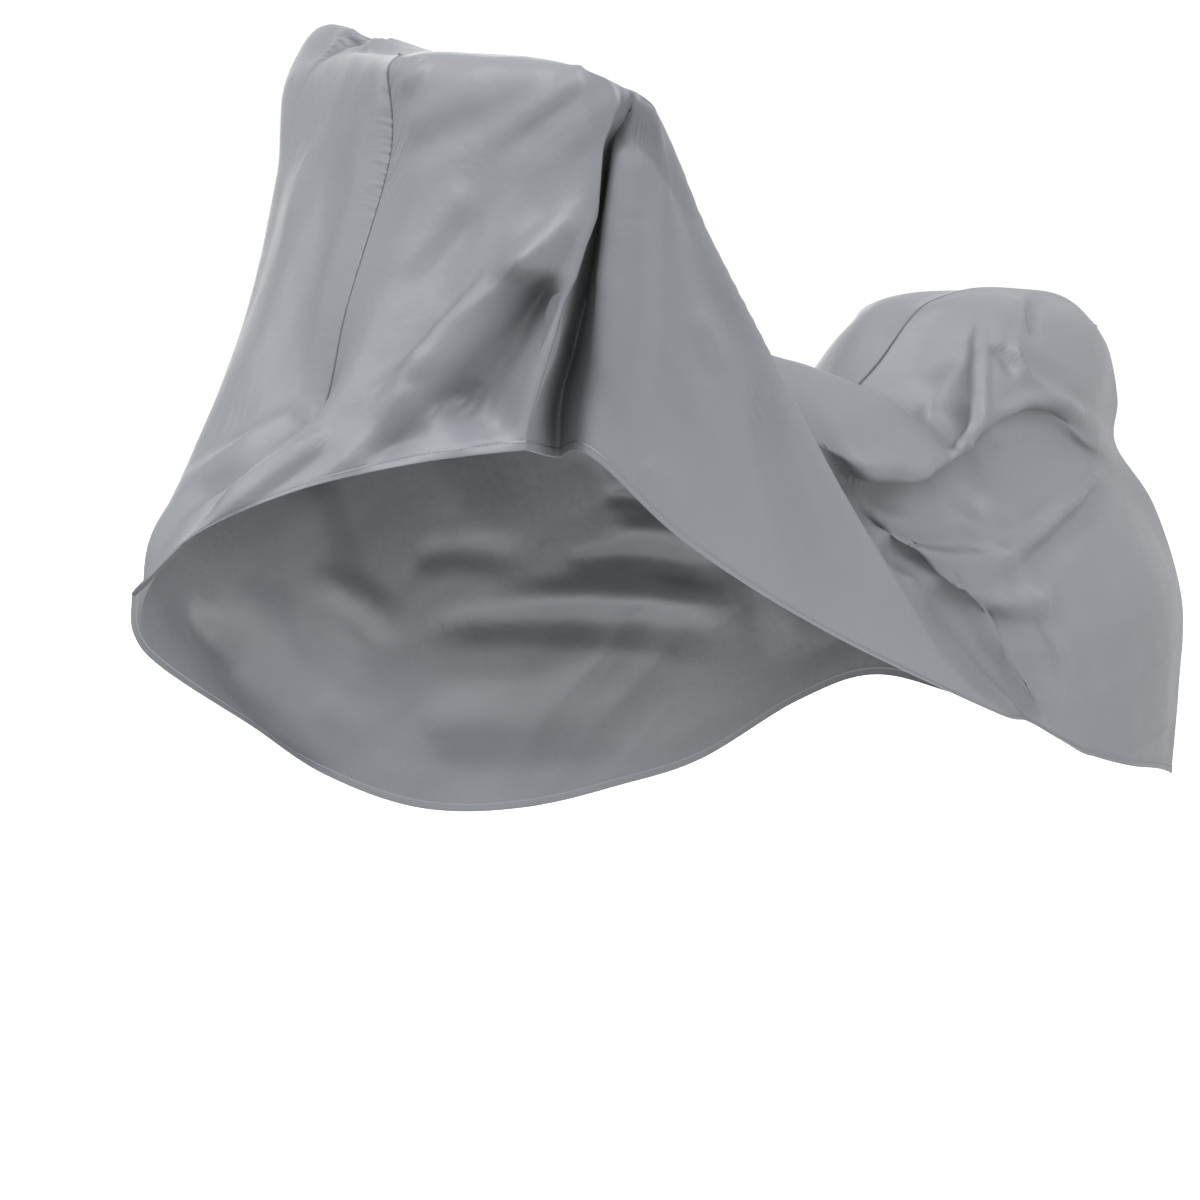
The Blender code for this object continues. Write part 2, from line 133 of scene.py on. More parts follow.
RIGHT_SECTIONS = (
    FRONT_SEAM,
    Section("front_1", (-.158, .058, .568), (-.130, .060, .636), (-.051, .070, .723),
            (.009, .085, .798), (.059, .100, .895), (.105, .110, 1.025), (.125, .110, 1.120), .125),
    Section("front_2", (-.098, .096, .517), (-.114, .104, .631), (-.064, .131, .693),
            (.010, .165, .788), (.071, .200, .878), (.125, .240, .998), (.163, .255, 1.112), .145),
    Section("corner", (.052, .160, .424), (-.001, .170, .521), (.019, .185, .629),
            (.064, .205, .756), (.113, .235, .856), (.162, .270, .989), (.187, .276, 1.140), .165),
    Section("peak_side", (.174, .190, .344), (.158, .200, .429), (.153, .210, .584),
            (.159, .225, .725), (.172, .250, .862), (.195, .280, .999), (.200, .273, 1.148), .185),
    Section("flank_1", (.319, .205, .280), (.300, .208, .400), (.280, .215, .560),
            (.260, .230, .720), (.245, .250, .870), (.230, .275, 1.010), (.222, .280, 1.122), .240),
    Section("flank_2", (.463, .200, .259), (.440, .200, .390), (.410, .205, .560),
            (.370, .210, .720), (.330, .220, .870), (.290, .235, .990), (.260, .240, 1.055), .330),
    Section("flank_3", (.608, .190, .268), (.590, .190, .400), (.560, .190, .560),
            (.530, .185, .700), (.490, .170, .800), (.440, .140, .865), (.410, .080, .905), .450),
    Section("valley_1", (.720, .170, .290), (.710, .165, .420), (.700, .160, .560),
            (.680, .140, .680), (.650, .110, .760), (.630, .070, .790), (.620, .040, .795), .610),
    Section("valley_2", (.860, .150, .350), (.850, .150, .460), (.830, .150, .570),
            (.800, .135, .670), (.775, .110, .730), (.755, .080, .760), (.740, .040, .758), .730),
    Section("hump_front", (.980, .140, .370), (.970, .140, .460), (.950, .140, .570),
            (.930, .130, .680), (.895, .115, .770), (.865, .090, .830), (.850, .050, .852), .840),
    Section("hump_crown", (1.120, .130, .330), (1.120, .135, .430), (1.110, .135, .550),
            (1.100, .125, .670), (1.080, .110, .770), (1.050, .090, .830), (1.030, .050, .860), 1.01),
    Section("hump_back", (1.280, .090, .270), (1.280, .100, .370), (1.270, .105, .480),
            (1.220, .100, .600), (1.180, .085, .720), (1.160, .070, .780), (1.150, .040, .825), 1.14),
    REAR_SEAM,
)

# One row per fold.  path = (section, level) positions along the fold; width and
# height in metres, negative sinks the cloth; sharp from 0, round, to 1, creased.
Fold = namedtuple("Fold", "name path width height sharp")

LEFT_FOLDS = (
    Fold("tension_ridge", ((3.86, 4.36), (3.56, 3.99), (3.33, 3.66), (3.12, 3.37), (2.91, 3.13),
         (2.63, 2.66), (2.5, 2.21), (2.26, 2.04), (1.75, 2.02), (1.06, 2.25)), .017, .019, .9),
    Fold("tension_throat", ((3.82, 3.82), (3.65, 3.44), (3.48, 3.07), (3.28, 2.69),
         (3.09, 2.24)), .012, -.01, .5),
    Fold("tension_fork", ((2.65, 2.6), (2.53, 2.16), (2.41, 1.73), (2.34, 1.16), (2.23, .51),
         (2.03, .22)), .013, .01, .7),
    Fold("tension_hollow", ((3.6, 3.21), (3.59, 2.76), (3.53, 2.21), (3.44, 1.49), (3.33, .75),
         (3.23, .29)), .04, -.052, .4),
    Fold("tension_tail", ((3.31, 1.47), (3.03, .94), (2.68, .57), (2.34, .3)), .02, -.019, .4),
    Fold("face_swell", ((3.47, 3.91), (3.16, 3.48), (2.83, 2.98), (2.52, 2.47),
         (2.18, 2.02)), .028, .011, .2),
    Fold("wing_ridge", ((1.61, 1.6), (1.27, 1.5), (.99, 1.32), (.75, 1.04), (0.0, 1.14)), .013, .011, .7),
    Fold("wing_dip", ((1.98, 1.14), (1.65, .9), (1.35, .7), (.88, .58)), .0137, -.0043, .5),
    Fold("lip_wedge", ((4.05, 2.84), (3.95, 2.16), (3.91, 1.4), (3.85, .43)), .013, .01, .5),
    Fold("front_streak", ((1.82, 4.69), (1.57, 4.44), (1.22, 4.16), (.72, 3.93)), .015, .0037, .5),
    Fold("front_streak_2", ((2.38, 4.27), (2.06, 3.7), (1.73, 3.52), (1.3, 3.44)), .0125, .0031, .6),
    Fold("front_streak_3", ((2.11, 3.32), (1.83, 3.08), (1.67, 2.89), (1.49, 2.72)), .0125, .0025, .5),
    Fold("front_streak_4", ((2.6, 4.54), (2.31, 4.04), (2.0, 3.77), (1.73, 3.63)), .0112, .0019, .5),
    Fold("front_dip", ((2.12, 4.37), (1.77, 3.98), (1.51, 3.75), (1.13, 3.65)), .0125, -.0025, .3),
    Fold("front_stand", ((1.93, 2.81), (2.19, 2.39), (2.42, 2.01)), .0075, .0025, .5),
    Fold("front_band_lit", ((.38, 5.27), (1.13, 5.45), (1.52, 5.6), (1.89, 5.8)), .015, .0031, .4),
    Fold("front_band", ((.22, 5.01), (1.13, 5.25), (1.59, 5.43), (2.03, 5.71),
         (2.45, 5.92)), .0163, -.0043, .4),
    Fold("bump_dark", ((2.94, 6.05), (2.34, 5.58), (1.84, 5.29), (1.4, 5.1)), .0112, -.0025, .4),
    Fold("bump_lit", ((3.6, 6.1), (3.4, 6.13), (2.62, 5.66), (2.26, 5.35), (1.91, 5.1),
         (1.51, 4.92)), .0112, .0031, .5),
    Fold("corner_dark", ((3.42, 5.84), (2.85, 5.49), (2.56, 5.28), (2.15, 4.99)), .01, -.0025, .4),
    Fold("corner_lit", ((3.51, 5.44), (3.23, 5.15), (2.95, 4.94), (2.57, 4.63)), .0125, .0031, .5),
    Fold("corner_crest", ((6.2, 5.94), (3.85, 5.6), (3.85, 5.38), (3.85, 5.18)), .0125, .0025, .4),
    Fold("corner_dip", ((5.63, 5.76), (5.17, 5.42), (5.51, 5.08), (5.63, 4.59)), .0075, -.0031, .4),
    Fold("corner_stripe", ((6.14, 5.77), (6.55, 5.08), (6.59, 4.31), (6.77, 3.52)), .0075, .0019, .5),
    Fold("fold_back_edge", ((5.91, 5.58), (6.77, 4.83), (6.91, 4.06), (6.92, 3.26), (6.97, 2.38),
         (7.01, 1.18)), .007, .004, .5),
    Fold("fold_back_band", ((7.21, 5.49), (7.27, 4.92), (7.26, 4.32), (7.28, 3.48), (7.29, 2.49),
         (7.28, 1.34), (7.26, .5)), .019, .012, .5),
    Fold("shoulder_lit", ((7.04, 3.94), (7.5, 4.42), (8.08, 4.91)), .005, .0009, .6),
    Fold("shoulder_dark", ((7.01, 3.85), (7.46, 4.33), (7.9, 4.76)), .005, -.0012, .5),
    Fold("flank_streak_1", ((8.35, 3.85), (8.62, 3.46), (8.67, 2.99)), .014, .0078, .4),
    Fold("flank_streak_2", ((7.95, 2.13), (8.14, 2.6), (8.43, 2.99)), .0137, .0035, .5),
    Fold("flank_trough", ((9.21, 3.41), (9.06, 2.48), (8.99, 1.68), (9.0, 1.0), (9.09, .39),
         (9.28, 0.0)), .019, -.0115, .3),
    Fold("flank_ripple", ((8.6, .65), (8.77, .69), (8.92, .68)), .0075, .0019, .5),
    Fold("flank_ripple_2", ((8.6, .51), (8.75, .54), (8.87, .51)), .0075, -.0019, .5),
    Fold("hem_ripple", ((7.53, .63), (7.75, .78), (8.02, .86)), .0112, .0035, .5),
    Fold("pale_edge", ((.92, 6.15), (.72, 5.92), (.52, 5.79), (.25, 5.63)), .008, .006, .8),
    Fold("swag_edge", ((11.59, 4.06), (11.91, 4.01), (12.41, 4.09), (12.7, 4.01), (13.13, 4.04),
         (14.01, 4.16), (14.73, 3.96), (15.03, 4.16)), .013, .012, .6),
    Fold("swag_under", ((11.29, 3.21), (12.2, 3.28), (12.64, 3.37), (13.27, 3.64), (14.45, 3.45),
         (15.11, 3.57), (15.54, 3.55)), .022, -.027, .4),
    Fold("swag_dark", ((12.44, 2.99), (13.04, 3.04), (14.2, 3.06), (15.15, 3.07)), .018, -.009, .3),
    Fold("hump_arm", ((15.01, 6.23), (14.89, 5.78), (14.95, 5.3), (15.03, 4.75), (15.06, 4.2),
         (14.8, 3.94), (14.22, 4.1)), .008, .01, .8),
    Fold("pocket_dark", ((13.95, 6.1), (13.98, 5.64), (14.23, 5.1), (14.56, 4.16)), .016, -.012, .3),
    Fold("hump_arc", ((14.13, 6.43), (14.43, 6.18), (14.8, 5.62)), .0112, .0037, .6),
    Fold("hump_arc_dip", ((14.04, 6.22), (14.36, 5.99), (14.73, 5.51)), .0125, -.0025, .3),
    Fold("hump_top", ((14.48, 7.0), (14.8, 6.8), (15.1, 6.43)), .0137, .0037, .5),
    Fold("hump_soft", ((14.78, 6.44), (14.54, 6.34), (14.25, 6.38)), .0175, .0031, .4),
    Fold("leaf", ((15.07, 5.46), (15.44, 5.27), (15.68, 4.99), (15.8, 4.7)), .008, -.008, .5),
    Fold("leaf_edge", ((15.03, 5.55), (15.5, 5.37), (15.8, 5.02), (15.92, 4.64)), .0088, .0031, .6),
    Fold("hump_boundary", ((15.88, 5.75), (15.73, 5.38), (15.78, 5.07), (16.02, 4.62),
         (16.29, 4.38), (16.65, 4.3), (17.12, 4.23), (17.8, 4.11)), .009, .008, .7),
    Fold("hump_side_dip", ((16.06, 5.31), (16.11, 4.84), (16.41, 4.52), (16.78, 4.43),
         (17.29, 4.33)), .0175, -.0043, .3),
    Fold("hump_crease", ((16.31, 6.75), (16.09, 5.9), (16.17, 5.34)), .009, -.01, .6),
    Fold("hump_knuckle", ((16.01, 6.42), (15.89, 5.93), (15.75, 5.6)), .0112, .0031, .5),
    Fold("over_crest", ((15.19, 4.25), (15.52, 4.1), (15.86, 4.12), (16.21, 4.1), (16.55, 4.2),
         (16.94, 4.23), (17.64, 4.14)), .009, .008, .7),
    Fold("over_dark", ((15.23, 3.86), (15.63, 3.73), (16.02, 3.67), (16.46, 3.84), (16.89, 4.03),
         (17.31, 4.0)), .013, -.012, .4),
    Fold("rear_swell", ((14.55, 3.17), (15.69, 2.96), (16.99, 3.41)), .0375, .0043, .2),
    Fold("ridge_trough", ((10.7, 4.5), (10.75, 3.6), (10.8, 2.6), (10.8, 1.6),
         (10.75, .6)), .034, -.01, .1),
    Fold("ridge_floor", ((12.15, .35), (12.15, 1.0), (12.15, 1.7), (12.15, 2.4),
         (12.1, 3.0)), .047, -.021, 0.0),
    Fold("ridge_crest", ((9.97, 5.8), (9.97, 4.2), (9.97, 2.8), (9.97, 1.4),
         (9.97, .3)), .015, .0031, .9),
    Fold("tail_edge", ((17.19, 3.09), (16.35, 2.67), (15.65, 2.56), (14.97, 2.52), (13.7, 2.44),
         (12.83, 2.4), (12.24, 2.27)), .012, .013, .8),
    Fold("tail_under", ((17.02, 2.79), (16.08, 2.51), (15.41, 2.44), (14.19, 2.35),
         (12.57, 2.2)), .017, -.012, .5),
    Fold("tail_crease", ((16.85, 2.75), (16.42, 2.65), (15.98, 2.57)), .0088, -.0025, .5),
    Fold("ledge_line", ((10.9, 2.54), (11.8, 2.5), (12.6, 2.47), (13.2, 2.44)), .009, .0076, .7),
    Fold("ledge_dark", ((10.8, 2.78), (11.6, 2.67), (12.4, 2.6), (13.1, 2.57)), .013, -.01, .6),
    Fold("ledge_low", ((10.6, 2.9), (11.2, 2.72), (11.7, 2.52), (12.1, 2.36)), .012, -.0086, .5),
    Fold("ledge_swell", ((11.22, 2.34), (12.27, 2.42), (13.37, 2.48)), .0175, .0037, .4),
    Fold("streak_dark", ((10.6, 2.36), (11.2, 2.27), (11.7, 2.15), (12.35, 1.97)), .014, -.012, .6),
    Fold("streak_lit", ((10.7, 2.08), (11.2, 2.0), (11.9, 1.84)), .01, .0076, .5),
    Fold("streak_low", ((10.7, 1.78), (11.4, 1.64), (12.1, 1.55), (12.9, 1.62)), .018, -.009, .3),
    Fold("tail_streak_dark", ((11.85, 1.6), (12.84, 1.71), (14.85, 1.97)), .02, -.0085, .4),
    Fold("tail_streak_lit", ((12.36, 1.97), (13.01, 2.0), (14.8, 2.13)), .014, .0076, .3),
    Fold("small_crease", ((14.14, 2.93), (14.33, 2.8), (14.57, 2.65), (14.83, 2.54)), .0088, .0025, .6),
    Fold("low_wave", ((10.58, .38), (12.76, 1.17), (15.43, 1.53)), .035, .0031, .2),
    Fold("low_dip", ((10.06, .84), (11.77, 1.04), (14.02, 1.6)), .03, -.0031, .2),
)

RIGHT_FOLDS = (
    Fold("peak_sag", ((4.8, 6.4), (3.6, 6.45), (2.3, 6.5)), .050, -.011, .2),
    Fold("wing_1", ((.12, 3.07), (.38, 2.69), (.66, 2.25), (1.23, 1.99), (1.71, 1.68)), .016, .012, .7),
    Fold("wing_2", ((.04, 2.48), (.09, 1.87), (.9, 1.73), (1.37, 1.5)), .012, -.009, .5),
    Fold("peak_slit", ((2.83, 6.31), (2.63, 6.41), (2.45, 6.52), (1.33, 6.55)), .0055, -.006, .5),
    Fold("peak_strip", ((4.31, 6.2), (2.77, 6.44), (2.6, 6.55), (1.23, 6.61)), .007, .0036, .4),
    Fold("peak_swell", ((2.54, 6.26), (2.34, 6.39), (1.3, 6.38)), .015, .0025, .3),
    Fold("inner_swell_1", ((4.44, 1.39), (4.97, 1.5), (5.59, 1.54), (6.16, 1.44),
         (6.66, 1.33)), .0375, .0043, .4),
    Fold("inner_dip_1", ((6.85, 1.64), (7.33, 1.54), (7.84, 1.38)), .0338, -.003, .4),
    Fold("inner_swell_2", ((2.78, 1.04), (3.21, 1.17), (3.48, 1.05)), .0182, .0036, .5),
    Fold("inner_dip_2", ((3.29, 1.64), (3.64, 1.57), (3.95, 1.45)), .0182, -.003, .4),
    Fold("inner_swell_3", ((3.29, .83), (3.48, .82), (3.65, .62)), .013, .003, .5),
    Fold("inner_swell_4", ((4.1, 1.01), (4.33, .87), (4.66, .75)), .0156, .003, .5),
    Fold("inner_trough_1", ((7.04, 2.55), (7.48, 2.61), (7.95, 2.49)), .012, -.008, .5),
    Fold("inner_ridge_1", ((7.05, 2.43), (7.55, 2.41), (8.08, 2.27)), .011, .009, .6),
    Fold("inner_trough_2", ((7.06, 2.19), (7.64, 2.14), (8.3, 1.93)), .011, -.009, .5),
    Fold("inner_ridge_2", ((6.61, 1.92), (7.35, 1.92), (8.42, 1.67)), .013, .0095, .6),
    Fold("inner_trough_3", ((6.02, 1.74), (6.85, 1.68), (7.73, 1.54), (8.5, 1.27)), .014, -.011, .5),
    Fold("inner_ridge_3", ((5.19, 1.58), (5.99, 1.57), (6.73, 1.48), (7.52, 1.35),
         (8.4, 1.05)), .017, .012, .5),
    Fold("inner_ridge_4", ((5.17, 2.07), (5.79, 2.08), (6.44, 1.95)), .014, .008, .4),
    Fold("inner_trough_4", ((3.94, 1.89), (4.59, 1.78), (5.08, 1.51)), .014, -.008, .4),
    Fold("inner_ridge_5", ((2.76, 1.15), (3.13, 1.15), (3.47, 1.12)), .012, .008, .5),
    Fold("inner_dip_3", ((6.47, .94), (6.94, .78), (7.38, .75)), .0286, -.0036, .3),
    Fold("face_ridge", ((1.5, 5.3), (1.3, 3.8), (1.2, 2.2)), .030, .010, .3),
    Fold("face_trough", ((.8, 5.3), (.9, 4.0), (.9, 2.8)), .022, -.008, .3),
    Fold("side_drape_1", ((4.6, 5.4), (5.6, 3.8), (6.6, 2.2)), .032, .014, .3),
    Fold("side_drape_2", ((5.4, 4.8), (6.8, 3.6), (8.2, 2.4)), .032, -.014, .3),
    Fold("side_fold_1", ((5.0, .9), (6.2, .8), (7.4, .8)), .030, .014, .2),
    Fold("side_fold_2", ((3.0, 1.3), (3.6, .9), (4.3, .3)), .028, .012, .2),
    Fold("side_fold_3", ((4.0, 2.8), (4.2, 2.0), (4.6, 1.2)), .028, -.012, .2),
    Fold("hump_fold", ((10.4, 5.2), (11.0, 4.6), (11.8, 3.9)), .022, .010, .4),
    Fold("tail_fold", ((12.4, 3.2), (11.4, 2.8), (10.4, 2.4)), .030, .012, .3),
    Fold("side_ripple", ((8.6, 2.6), (8.8, 1.5), (9.0, .5)), .024, -.011, .4),
    Fold("tail_drape", ((12.6, 5.0), (12.3, 3.4), (12.4, 1.5)), .024, .011, .5),
    Fold("hump_drape_1", ((9.9, 5.6), (9.6, 4.5), (9.0, 3.5)), .020, -.011, .6),
    Fold("hump_drape_2", ((11.5, 5.4), (11.9, 4.2), (12.2, 3.0)), .018, -.009, .6),
)

# Small pulls in the cloth run at a turn from the level, as seen from the front left.
Grain = namedtuple("Grain", "section turn height")
LEFT_GRAINS = (Grain(2.0, 0.80, 0.0052), Grain(8.6, -1.05, 0.0026), Grain(14.5, 0.20, 0.0044))
RIGHT_GRAINS = (Grain(1.5, 1.20, 0.0036), Grain(6.0, 0.90, 0.0060), Grain(10.0, 0.40, 0.0060))
GRAIN_REACH = 2.4                 # sections over which one grain gives way to the next
VIEW_RIGHT = (0.755, 0.656)       # shares of x and -y along which grains are laid

# Waves of the drape: pitch across and along the grain or the view.
Wave = namedtuple("Wave", "across along")
BEND_WAVE = Wave(0.19, 0.16)
BROAD_WAVE = Wave(0.13, 0.11)
PATCH_WAVE = Wave(0.17, 0.14)
PULL_WAVE = Wave(0.060, 0.26)
FINE_PULL_WAVE = Wave(0.024, 0.085)
BEND_SWING = 0.020                # the grain sways this far
BROAD_HEIGHT = 0.0020
FINE_PULL_SHARE = 0.30            # height of fine pulls beside the larger ones
WAVE_TABLE = (97, 89)             # seeded values before the waves repeat

# Size of each panel as cut, before it is sewn and draped.
Cut = namedtuple("Cut", "width length area")

# The panels: side is -1 for left and +1 for right; columns lie closer up to the
# section close_to; lip is the section of a sharp pleat that small folds stop at.
PanelPlan = namedtuple("PanelPlan", "name node sections folds grains side close_to lip seed cut")
NO_LIP = -9.0
LEFT_PLAN = PanelPlan(
    name="left_cloth", node="left_panel", sections=LEFT_SECTIONS, folds=LEFT_FOLDS,
    grains=LEFT_GRAINS, side=-1, close_to=8, lip=4.0, seed=11, cut=Cut(0.85, 2.10, 0.90))
RIGHT_PLAN = PanelPlan(
    name="right_cloth", node="right_panel", sections=RIGHT_SECTIONS, folds=RIGHT_FOLDS,
    grains=RIGHT_GRAINS, side=1, close_to=4, lip=NO_LIP, seed=23, cut=Cut(0.95, 2.05, 1.15))

# Rows are laid at these distances from the hem before they spread out evenly.
HEM_ROWS = (0.0, .0010, .0024, .0042, .0064, .0084, .0094, .0100, .0106, .0120, .0150)
SEAM_ROWS = (0.0, .0012, .0030, .0060, .0100)
STITCH_ROW = .0084
FRONT_CLOSENESS = 1.6             # columns lie this much closer in the front sections

TOP_LEVEL = 7                     # level of the back line; the hem is level 0
SLOPE_LIMIT = 1.6                 # of the shorter step beside a point, so curves don't overrun
SECTION_SAMPLES = 40              # samples from one section to the next, for runs
LEVEL_SAMPLES = 40                # samples from one level to the next, for rises
COARSE_STEP = 20                  # every this many level samples are enough for runs
TINY = 1e-9                       # keeps lengths of zero out of divisions

FOLD_SAMPLES = 49                 # points along the path of one fold
FOLD_REACH = 3.2                  # a fold is worked out within this many widths of its path
FLANK_WIDTH = 1.7                 # widths from the crest of a fold to its foot
FOOT_HEIGHT = 0.3                 # share of its height under which the flank eases out
FOLD_RISE = 0.24                  # share of its path over which a fold grows
FOLD_FALL = 0.36                  # share of its path over which it dies out
LAYER_APART = 1.3                 # cloth this many sections away is another layer

HEM_WIDTH = 0.0100
ROLL_DEPTH = 0.0007               # the folded hem stands this far out of the cloth
ROLL_STEP = 0.0010                # width of the step beside the folded hem
ROLL_PAST = 0.0004                # that step starts this far past the hem's width
HEM_DENT = (0.0004, 0.0008)       # depth and width of the dent behind the folded hem
SEAM_GROOVE = (0.0055, 0.0008)    # depth and width of the groove at the seam
SMALL_FOLD_FADE = 0.050           # small folds fade this near the seam and the hem
SMALL_FOLD_SHARE = 0.25           # to this share of their height
HEM_FADE = 0.030                  # folds fade this near the hem
HEM_SHARE = 0.15                  # the fade stops at this share of its way
SEAM_FADE = 0.012                 # all folds die out this near the seam
LIP_FADE = 0.38                   # sections beside a sharp pleat without folds
ON_SEAM = 1e-7                    # points this near the seam lie in its plane

PUCKER_TOP = 0.095                # the seam is gathered most this far below the hang point
PUCKER_RUN = 0.055                # and less this far above and below
PUCKER_SHARE = 0.15               # down to this share elsewhere
PUCKER_REACH = 0.042              # puckers reach this far from the seam
HEM_PUCKER_REACH = 0.014
SEAM_SHADE_HALF_WIDTH = 0.0014                # half width of the painted shade along the seam groove


# ---------------------------------------------------------------- settings
class CoverClothSettings(PropertyGroup):
    thickness: FloatProperty(name="Cloth thickness", description="Thickness of one layer of cloth",
                             default=0.0012, unit="LENGTH")
    columns: IntProperty(name="Columns", description="Mesh columns from the front seam to the tail",
                         default=360)
    rows: IntProperty(name="Rows", description="Mesh rows from the hem to the back line", default=132)
    colour: FloatVectorProperty(name="Cloth colour", description="Main colour of the woven cloth",
                                size=4, subtype="COLOR", default=(0.142, 0.149, 0.161, 1.0))
    shade: FloatVectorProperty(name="Cloth shade", description="Colour of the cloth where it is duller",
                               size=4, subtype="COLOR", default=(0.128, 0.135, 0.146, 1.0))
    roughness: FloatProperty(name="Roughness", description="Roughness of the cloth", default=0.44)
    weave_pitch: FloatProperty(name="Weave pitch", description="Distance from thread to thread",
                               default=0.0009, precision=4, unit="LENGTH")


class CoverStitchSettings(PropertyGroup):
    pitch: FloatProperty(name="Stitch pitch", description="Distance from stitch to stitch",
                         default=0.0044, precision=4, unit="LENGTH")
    length: FloatProperty(name="Stitch length", description="Length of one stitch",
                          default=0.0031, precision=4, unit="LENGTH")
    width: FloatProperty(name="Thread width", description="Width of the sewing thread",
                         default=0.0006, precision=4, unit="LENGTH")
    colour: FloatVectorProperty(name="Thread colour", description="Colour of the sewing thread",
                                size=4, subtype="COLOR", default=(0.135, 0.142, 0.154, 1.0))


class CoverStageSettings(PropertyGroup):
    floor_size: FloatProperty(name="Floor size", description="Side of the square floor",
                              default=40.0, unit="LENGTH")
    floor_colour: FloatVectorProperty(name="Floor colour", description="Colour of the plain floor",
                                      size=4, subtype="COLOR", default=(0.96, 0.96, 0.96, 1.0))
    sky: FloatProperty(name="Room light", description="Strength of the even light from above",
                       default=1.05)
    under: FloatProperty(name="Under light", description="Strength of the even light from below",
                         default=0.85)
    front: FloatProperty(name="Front light", description="Power of the light before the front in watts",
                         default=152.0)
    side: FloatProperty(name="Side light", description="Power of the light on the left side in watts",
                        default=130.0)
    back: FloatProperty(name="Back light", description="Power of the light on the right side in watts",
                        default=36.0)
    inside: FloatProperty(name="Inside light", description="Power of the light under the cover in watts",
                          default=7.0)
    lens: FloatProperty(name="Lens", description="Focal length of the camera in millimetres",
                        default=92.574)


# ---------------------------------------------------------------- surfaces
def span_weights(s):
    """Weights of start, start slope, end and end slope at the share s of a span."""
    return (2 * s ** 3 - 3 * s ** 2 + 1, s ** 3 - 2 * s ** 2 + s,
            3 * s ** 2 - 2 * s ** 3, s ** 3 - s ** 2)


def curve_weights(knots, stations):
    """Weights that carry values at the knots to a smooth curve at the stations."""
    count = len(knots)
    unit = np.eye(count)
    slope = np.zeros((count, count))
    slope[0] = (unit[1] - unit[0]) / (knots[1] - knots[0])
    slope[-1] = (unit[-1] - unit[-2]) / (knots[-1] - knots[-2])
    for i in range(1, count - 1):
        before = knots[i] - knots[i - 1]
        after = knots[i + 1] - knots[i]
        rise_in = (unit[i] - unit[i - 1]) / before
        rise_out = (unit[i + 1] - unit[i]) / after
        slope[i] = (rise_in * after + rise_out * before) / (before + after)
    stations = np.asarray(stations, dtype=float)
    k = np.clip(np.searchsorted(knots, stations, side="right") - 1, 0, count - 2)
    span = (knots[k + 1] - knots[k])[:, None]
    start, leave, end, arrive = span_weights((stations[:, None] - knots[k][:, None]) / span)
    return (start * unit[k] + leave * span * slope[k]
            + end * unit[k + 1] + arrive * span * slope[k + 1])


def back_line_points(x_values):
    """Points of the centre seam along the back line."""
    knots = np.array([point.x for point in BACK_LINE])
    heights = np.array([point.z for point in BACK_LINE])
    z_values = curve_weights(knots, x_values) @ heights
    return np.stack([x_values, np.zeros(len(x_values)), z_values], axis=1)


def curve_through(knots, stations):
    """Points at the stations of smooth curves through the knots, one curve a station."""
    steps = np.diff(knots, axis=0)
    slopes = np.concatenate([steps[:1], (steps[:-1] + steps[1:]) / 2, steps[-1:]])
    length = np.linalg.norm(steps, axis=2, keepdims=True)
    shorter = np.concatenate([length[:1], np.minimum(length[:-1], length[1:]), length[-1:]])
    steepness = np.maximum(np.linalg.norm(slopes, axis=2, keepdims=True), TINY)
    slopes = slopes * np.minimum(1.0, SLOPE_LIMIT * shorter / steepness)
    k = np.clip(stations.astype(int), 0, len(knots) - 2)
    curve = np.arange(len(stations)) if knots.shape[1] > 1 else np.zeros(len(stations), dtype=int)
    start, leave, end, arrive = span_weights((stations - k)[:, None])
    return (start * knots[k, curve] + leave * slopes[k, curve]
            + end * knots[k + 1, curve] + arrive * slopes[k + 1, curve])


def cloth_points(sections, u_grid, v_grid):
    """Points of the loft at pairs of section and level positions."""
    u = np.ravel(u_grid)
    v = np.ravel(v_grid)
    seam_x = np.array([section.seam for section in sections])
    seam_points = back_line_points(seam_x)
    rows = []
    for section, seam_point in zip(sections, seam_points):
        levels = np.array(list(section[1:TOP_LEVEL + 1]) + [tuple(seam_point)], dtype=float)
        rows.append(curve_through(levels[:, None, :], v))
    points = curve_through(np.array(rows), u)
    along = curve_weights(np.arange(len(sections), dtype=float), u)
    exact = back_line_points(along @ seam_x)
    rough = curve_through(seam_points[:, None, :], u)
    share = np.clip(v - (TOP_LEVEL - 1), 0.0, 1.0) ** 2
    return (points + (exact - rough) * share[:, None]).reshape(np.shape(u_grid) + (3,))


def run_lengths(points, axis):
    """Distance run along the rows or columns of a grid of points."""
    steps = np.linalg.norm(np.diff(points, axis=axis), axis=2)
    start = np.zeros_like(np.take(steps, [0], axis=axis))
    return np.concatenate([start, np.cumsum(steps, axis=axis)], axis=axis)


def laid_distances(total, count, first, last):
    """Distances along one column: close rows at both ends, even rows between."""
    middle = count - len(first) - len(last)
    inner = np.linspace(first[-1], total - last[-1], middle + 2)[1:-1]
    return np.concatenate([first, inner, total - np.array(last)[::-1]])


